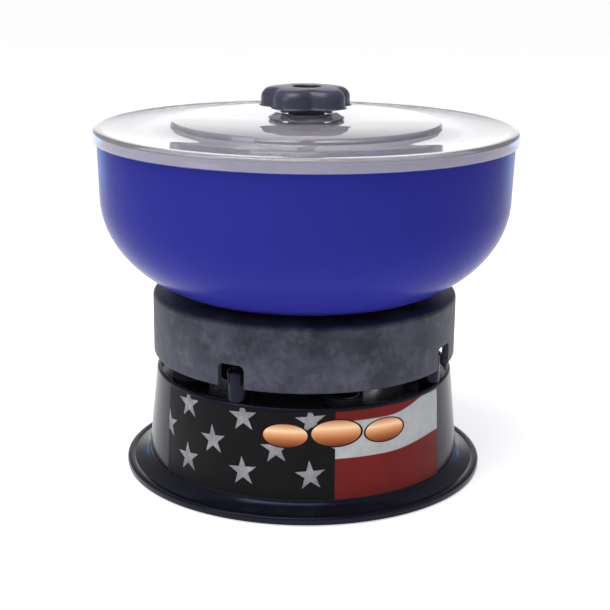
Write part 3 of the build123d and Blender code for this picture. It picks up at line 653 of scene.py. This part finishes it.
notch_tool = bmesh.new()
for azimuth in post_azimuths:
    before = set(notch_tool.verts)
    bmesh.ops.create_cube(notch_tool, size=1.0)
    block = [v for v in notch_tool.verts if v not in before]
    bmesh.ops.scale(notch_tool, vec=notch_size, verts=block)
    top_edges = [e for e in notch_tool.edges if all(v in block and v.co.z > 0.0 for v in e.verts)
                 and abs(e.verts[0].co.x - e.verts[1].co.x) < 1e-6]
    bmesh.ops.bevel(notch_tool, geom=top_edges, offset=0.004, segments=6, profile=0.5,
                    affect="EDGES", material=-1)
    block = [v for v in notch_tool.verts if v not in before]
    x, y = on_circle(housing_radius, azimuth)
    put = Matrix.Translation((x, y, housing_low.z)) @ Matrix.Rotation(azimuth, 4, "Z")
    bmesh.ops.transform(notch_tool, matrix=put, verts=block)
cutter = shown(notch_tool, "notch_tool", charcoal)
cut = housing_piece.modifiers.new("notches", "BOOLEAN")
cut.operation = "DIFFERENCE"
cut.solver = "EXACT"
cut.object = cutter
bpy.context.view_layer.update()
evaluated = bpy.context.evaluated_depsgraph_get()
notched = bpy.data.meshes.new_from_object(housing_piece.evaluated_get(evaluated))
housing_piece.modifiers.clear()
housing_piece.data = notched
bpy.data.objects.remove(cutter)
edge_round = housing_piece.modifiers.new("edge_round", "BEVEL")
edge_round.limit_method = "ANGLE"
edge_round.angle_limit = math.radians(50.0)
edge_round.width = 0.0006
edge_round.segments = 2
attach(housing_piece, "drive_unit")
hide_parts("drive_housing")


# A moulded black rubber ring carries the bowl. It is glued to the top of the housing, with its edges
# rounded and three shallow grip grooves in its upper face.
pad_low, pad_high = pad_seat
pad_outer = pad_high.x
pad_inner = 0.060
grooves = [pad_inner + 0.005 + 0.005 * i for i in range(3)]
pad_outline = [(pad_inner, pad_low.z), (pad_outer, pad_low.z), (pad_outer, pad_high.z)]
for middle in reversed(grooves):
    pad_outline += [(middle + 0.0012, pad_high.z), (middle + 0.0006, pad_high.z - 0.0008),
                    (middle - 0.0006, pad_high.z - 0.0008), (middle - 0.0012, pad_high.z)]
pad_outline.append((pad_inner, pad_high.z))
pad_body = turned(pad_outline)
round_rings(pad_body, [(pad_outer, pad_high.z), (pad_inner, pad_high.z)], 0.0008)
pad_piece = shown(pad_body, "bowl_seat_ring", black_rubber)
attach(pad_piece, "drive_unit")
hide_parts("seat_pad")


# The centre stud is a steel rod with a rolled metric thread from end to end, and a plain hexagon
# nut locks it on the housing boss.
thread_pitch = 0.00125
thread_root = stud_radius - 0.0007
stud_low, stud_high = stud_box
thread_turns = int((stud_high.z - stud_low.z - 0.0012) / thread_pitch)
stud_body = bmesh.new()
thread = [(thread_root, 0.0), (stud_radius, 0.00048), (stud_radius, 0.00077), (thread_root, thread_pitch)]
run = [stud_body.verts.new((r, 0.0, stud_low.z + 0.0004 + z)) for r, z in thread]
run_edges = [stud_body.edges.new(pair) for pair in zip(run, run[1:])]
bmesh.ops.spin(stud_body, geom=run + run_edges, axis=(0.0, 0.0, 1.0), cent=(0.0, 0.0, 0.0),
               dvec=(0.0, 0.0, thread_pitch / 20), angle=math.tau * (thread_turns - 1),
               steps=20 * (thread_turns - 1))
bmesh.ops.remove_doubles(stud_body, verts=stud_body.verts, dist=1e-6)
add_rod(stud_body, thread_root + 0.00005, stud_low.z, stud_high.z, 0.0, 0.0, rounding=0.0005)
bmesh.ops.recalc_face_normals(stud_body, faces=stud_body.faces)
stud_piece = shown(stud_body, "threaded_stud", screw_steel, sharp=25.0)
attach(stud_piece, "drive_unit")
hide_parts("centre_stud")

nut_low, nut_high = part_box("stud_nut")
nut_body = bmesh.new()
nut_half_flats = (nut_high.y - nut_low.y) / 2.0
bmesh.ops.create_circle(nut_body, segments=6, radius=nut_half_flats / math.cos(math.pi / 6.0))
bmesh.ops.translate(nut_body, vec=(0.0, 0.0, nut_low.z), verts=nut_body.verts)
nut_ring = bmesh.ops.extrude_edge_only(nut_body, edges=nut_body.edges[:])
raised = [v for v in nut_ring["geom"] if isinstance(v, bmesh.types.BMVert)]
bmesh.ops.translate(nut_body, vec=(0.0, 0.0, nut_high.z - nut_low.z), verts=raised)
level_edges = [e for e in nut_body.edges if abs(e.verts[0].co.z - e.verts[1].co.z) < 1e-7]
bmesh.ops.subdivide_edges(nut_body, edges=level_edges, cuts=7)
for level in (nut_high.z, nut_low.z):
    rim = [e for e in nut_body.edges if all(abs(v.co.z - level) < 1e-6 for v in e.verts)]
    bore = bmesh.ops.extrude_edge_only(nut_body, edges=rim)
    for vertex in [v for v in bore["geom"] if isinstance(v, bmesh.types.BMVert)]:
        reach = (stud_radius + 0.0001) / math.hypot(vertex.co.x, vertex.co.y)
        vertex.co.x *= reach
        vertex.co.y *= reach
for vertex in nut_body.verts:
    corner = math.hypot(vertex.co.x, vertex.co.y) - nut_half_flats
    if corner > 1e-5:
        vertex.co.z += (-0.6 if vertex.co.z > (nut_low.z + nut_high.z) / 2.0 else 0.6) * corner
bore_rings = [e for e in nut_body.edges if e.is_boundary]
bmesh.ops.bridge_loops(nut_body, edges=bore_rings)
bmesh.ops.recalc_face_normals(nut_body, faces=nut_body.faces)
nut_piece = shown(nut_body, "hexagon_nut", screw_steel, sharp=25.0)
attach(nut_piece, "drive_unit")
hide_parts("stud_nut")


# The bowl is one deep blue moulding: a nearly upright side, an elliptical lower curve, a flat bottom
# and a hollow centre post over the stud. It stands on the rubber ring and lifts off.
bowl_low, bowl_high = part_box("bowl")
bowl_radius = bowl_high.x
bowl_wall = 0.0035
shoulder_radius = bowl_radius - 0.0013
shoulder_z = 0.200
curve_width = 0.100
curve_height = 0.0750
post_top_radius = 0.013
post_foot_radius = 0.024
post_top = bowl_high.z
rim_level = 0.245
post_fillet_radius = 0.006


def side_radius(z, inset=0.0):
    """The outline of the bowl's side at a level, set in by the wall for the inner face."""
    if z >= shoulder_z:
        share = (z - shoulder_z) / (rim_level - shoulder_z)
        return shoulder_radius - inset + (bowl_radius - shoulder_radius) * share
    drop = (shoulder_z - z) / (curve_height - inset)
    return shoulder_radius - curve_width + (curve_width - inset) * math.sqrt(max(0.0, 1.0 - drop * drop))


curve_steps = 28
floor_level = bowl_low.z + bowl_wall
hollow_top = post_top - 0.004
outer_curve = []
for i in range(curve_steps + 1):
    angle = math.asin((shoulder_z - bowl_low.z) / curve_height) * i / curve_steps
    z = shoulder_z - curve_height * math.sin(angle)
    outer_curve.append((side_radius(z), z))
inner_curve = []
for i in range(curve_steps + 1):
    angle = math.asin((shoulder_z - floor_level) / (curve_height - bowl_wall)) * (1.0 - i / curve_steps)
    z = shoulder_z - (curve_height - bowl_wall) * math.sin(angle)
    inner_curve.append((side_radius(z, bowl_wall), z))
post_fillet = []
for i in range(7):
    turn = math.radians(90.0 * i / 6.0)
    reach = post_foot_radius + post_fillet_radius * (1.0 - math.sin(turn))
    post_fillet.append((reach - 0.0006 * (1.0 - math.cos(turn)),
                        floor_level + post_fillet_radius * (1.0 - math.cos(turn))))
bowl_outline = [(bowl_radius, rim_level)] + outer_curve
bowl_outline += [(post_foot_radius - bowl_wall, bowl_low.z), (post_top_radius - bowl_wall, hollow_top),
                 (stud_radius + 0.0005, hollow_top), (stud_radius + 0.0005, post_top),
                 (post_top_radius, post_top)]
bowl_outline += list(reversed(post_fillet)) + inner_curve + [(bowl_radius - bowl_wall, rim_level)]
bowl_body = turned(bowl_outline, steps=320)
round_rings(bowl_body, [(bowl_radius - bowl_wall, rim_level), (post_top_radius, post_top)], 0.0010)
round_rings(bowl_body, [(bowl_radius, rim_level)], 0.0008)
round_rings(bowl_body, [outer_curve[-1]], 0.0030, 4)

blue_plastic = Finish("deep_blue_plastic", IOR=1.5, Specular_IOR_Level=0.05,
                      Specular_Tint=tint(120, 180, 255))
blue_cloud = blue_plastic.noise(9.0, detail=4.0)
blue_scuff = blue_plastic.band(blue_plastic.noise(75.0, detail=6.0, roughness=0.68), 0.56, 0.86)
blue_colour = blue_plastic.mix(blue_cloud, tint(41, 42, 132), tint(47, 48, 142))
blue_colour = blue_plastic.mix(0.08 * blue_scuff, blue_colour, tint(66, 76, 176))
blue_plastic.feed(Base_Color=blue_colour, Roughness=0.20 + 0.08 * blue_cloud + 0.05 * blue_scuff)
blue_plastic.relief(blue_plastic.noise(520.0, detail=2.0), 0.00003, 0.2)
bowl_piece = shown(bowl_body, "blue_bowl", blue_plastic)
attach(bowl_piece, "bowl")
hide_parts("bowl")


# The lid is one clear moulding with a skirt over the bowl rim, a raised disc, and a spool-shaped
# hub that sits on the centre post, held down by the knob. Fine handling scratches catch the light.
lid_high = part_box("lid")[1]
lid_radius = 0.150
lid_top = rim_level + 0.003
lid_plate = 0.003
disc_radius = 0.095
disc_top = lid_top + 0.0043
hub_radius = 0.0273
hub_skirt = 0.0055
hub_top_radius = 0.0215
hub_top = lid_high.z
hub_floor = hub_top - 0.0042
skirt_inner = bowl_radius + 0.0004
skirt_bottom = rim_level - 0.0063
socket_radius = post_top_radius + 0.0014
lid_outline = [
    (stud_radius + 0.0005, hub_floor),
    (hub_top_radius - 0.003, hub_floor),
    (hub_top_radius - 0.003, hub_top),
    (hub_top_radius, hub_top),
    (hub_radius, hub_top - 0.0031),
    (hub_radius - 0.0015, disc_top),
    (disc_radius, disc_top),
    (disc_radius + 0.0008, lid_top),
    (lid_radius - 0.0070, lid_top),
    (lid_radius - 0.0062, lid_top + 0.0004),
    (lid_radius - 0.0004, lid_top),
    (lid_radius - 0.0008, skirt_bottom),
    (skirt_inner, skirt_bottom),
    (skirt_inner, rim_level),
    (disc_radius - lid_plate, rim_level),
    (disc_radius - lid_plate, disc_top - lid_plate),
    (hub_radius, disc_top - lid_plate),
    (hub_radius, disc_top - lid_plate - hub_skirt),
    (socket_radius, disc_top - lid_plate - hub_skirt),
    (socket_radius, disc_top - lid_plate),
    (stud_radius + 0.0005, disc_top - lid_plate),
]
lid_body = turned(lid_outline, steps=320)
round_rings(lid_body, [(lid_radius - 0.0004, lid_top)], 0.0024, 5)
round_rings(lid_body, [(disc_radius, disc_top), (hub_radius, hub_top - 0.0031)], 0.0011, 3)
round_rings(lid_body, [(disc_radius + 0.0008, lid_top), (hub_top_radius, hub_top)], 0.0006, 3)
round_rings(lid_body, [(hub_radius, disc_top - lid_plate - hub_skirt)], 0.0014, 3)
round_rings(lid_body, [(lid_radius - 0.0008, skirt_bottom), (skirt_inner, skirt_bottom)], 0.0006, 2)

clear_plastic = Finish("clear_lid_plastic", IOR=1.49, Transmission_Weight=0.80)
lid_scratch = clear_plastic.band(clear_plastic.noise(210.0, detail=6.0, roughness=0.75), 0.60, 0.84)
lid_cloud = clear_plastic.noise(12.0, detail=3.0)
clear_plastic.feed(Base_Color=clear_plastic.mix(lid_cloud, tint(240, 236, 246), tint(250, 247, 252)),
                   Roughness=0.02 + 0.03 * lid_cloud + 0.10 * lid_scratch)
clear_plastic.relief(clear_plastic.noise(30.0, detail=1.0), 0.00008, 0.2)
lid_piece = shown(lid_body, "clear_lid", clear_plastic)
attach(lid_piece, "lid")
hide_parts("lid")


# The knob is a five-lobed star moulded in dark grey plastic round a brass insert that screws on the
# stud, with a neck below and an open recess on top where the end of the stud shows.
knob_low, knob_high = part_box("knob")
knob_tip = knob_high.y
knob_lobes = 5
knob_lobe_radius = 0.0140
knob_blend = math.radians(4.0)
neck_radius = 0.0129
neck_height = 0.007
recess_radius = 0.0100
recess_depth = 0.004
crown_start = 0.0150
knob_valley_azimuth = math.radians(7.4)
insert_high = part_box("knob_insert")[1]
knob_bottom = knob_low.z + neck_height

star = bmesh.new()
bmesh.ops.create_circle(star, cap_ends=True, segments=200, radius=1.0)


def star_radius(azimuth):
    """The knob's outline: five overlapping round lobes, blended where they meet."""
    half_step = math.pi / knob_lobes
    from_valley = (azimuth - knob_valley_azimuth) % (2.0 * half_step)
    from_valley = min(from_valley, 2.0 * half_step - from_valley)
    off_lobe = half_step - math.hypot(from_valley, knob_blend)
    reach = knob_tip - knob_lobe_radius
    rise = math.sqrt(knob_lobe_radius ** 2 - (reach * math.sin(off_lobe)) ** 2)
    return reach * math.cos(off_lobe) + rise


for vertex in star.verts:
    azimuth = math.atan2(vertex.co.x, -vertex.co.y)
    reach = star_radius(azimuth)
    vertex.co = Vector((reach * math.sin(azimuth), -reach * math.cos(azimuth), knob_bottom))


def grow(body, faces, rise=0.0, radius=None):
    """Extrudes faces straight up or down, and draws their outline in to a circle if asked."""
    made = bmesh.ops.extrude_face_region(body, geom=faces)["geom"]
    bmesh.ops.delete(body, geom=faces, context="FACES")
    moved = [v for v in made if isinstance(v, bmesh.types.BMVert)]
    for vertex in moved:
        vertex.co.z += rise
        if radius:
            share = radius / math.hypot(vertex.co.x, vertex.co.y)
            vertex.co.x *= share
            vertex.co.y *= share
    return [f for f in made if isinstance(f, bmesh.types.BMFace)]


bottom = star.faces[:]
copy = bmesh.ops.duplicate(star, geom=star.verts[:] + star.edges[:] + star.faces[:])["geom"]
top = [f for f in copy if isinstance(f, bmesh.types.BMFace)]
for vertex in [v for v in copy if isinstance(v, bmesh.types.BMVert)]:
    vertex.co.z = knob_high.z
rims = [e for e in star.edges if e.is_boundary]
bmesh.ops.bridge_loops(star, edges=rims)
top_rim = list(top[0].edges)
bottom_rim = list(bottom[0].edges)
bmesh.ops.bevel(star, geom=top_rim, offset=0.0062, segments=9, profile=0.5,
                affect="EDGES", material=-1)
bmesh.ops.bevel(star, geom=bottom_rim, offset=0.0016, segments=3, profile=0.5,
                affect="EDGES", material=-1)
wide_faces = [f for f in star.faces if len(f.verts) > 100]
flat_top = [f for f in wide_faces if f.calc_center_median().z > knob_high.z - 0.001]
flat_bottom = [f for f in wide_faces if f.calc_center_median().z < knob_bottom + 0.001]
upper = grow(star, flat_top, radius=0.0145)
upper = grow(star, upper, radius=recess_radius + 0.0006)
upper = grow(star, upper, rise=-0.0006, radius=recess_radius)
upper = grow(star, upper, rise=0.0006 - recess_depth)
upper = grow(star, upper, radius=stud_radius + 0.0005)
upper = grow(star, upper, rise=-(knob_high.z - recess_depth - insert_high.z) - 0.0005)
lower = grow(star, flat_bottom, radius=neck_radius)
lower = grow(star, lower, rise=-neck_height + 0.0006)
lower = grow(star, lower, rise=-0.0006, radius=neck_radius - 0.0006)
lower = grow(star, lower, radius=0.0066)
lower = grow(star, lower, rise=0.001)
for vertex in star.verts:
    away = math.hypot(vertex.co.x, vertex.co.y) - crown_start
    if vertex.co.z > knob_bottom + 0.006 and away > 0.0:
        vertex.co.z -= 6.0 * away * away
bmesh.ops.remove_doubles(star, verts=star.verts, dist=1e-6)
bmesh.ops.recalc_face_normals(star, faces=star.faces)

knob_plastic = Finish("dark_knob_plastic", IOR=1.5)
knob_cloud = knob_plastic.noise(60.0, detail=5.0)
knob_wear = knob_plastic.band(knob_plastic.noise(220.0, detail=5.0, roughness=0.7), 0.55, 0.85)
knob_colour = knob_plastic.mix(knob_cloud, tint(42, 43, 64), tint(68, 68, 92))
knob_plastic.feed(Base_Color=knob_plastic.mix(0.3 * knob_wear, knob_colour, tint(120, 118, 138)),
                  Roughness=0.30 + 0.16 * knob_cloud)
knob_plastic.relief(knob_plastic.noise(800.0, detail=2.0), 0.00005, 0.35)
knob_piece = shown(star, "star_knob", knob_plastic)
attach(knob_piece, "knob")
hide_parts("knob")
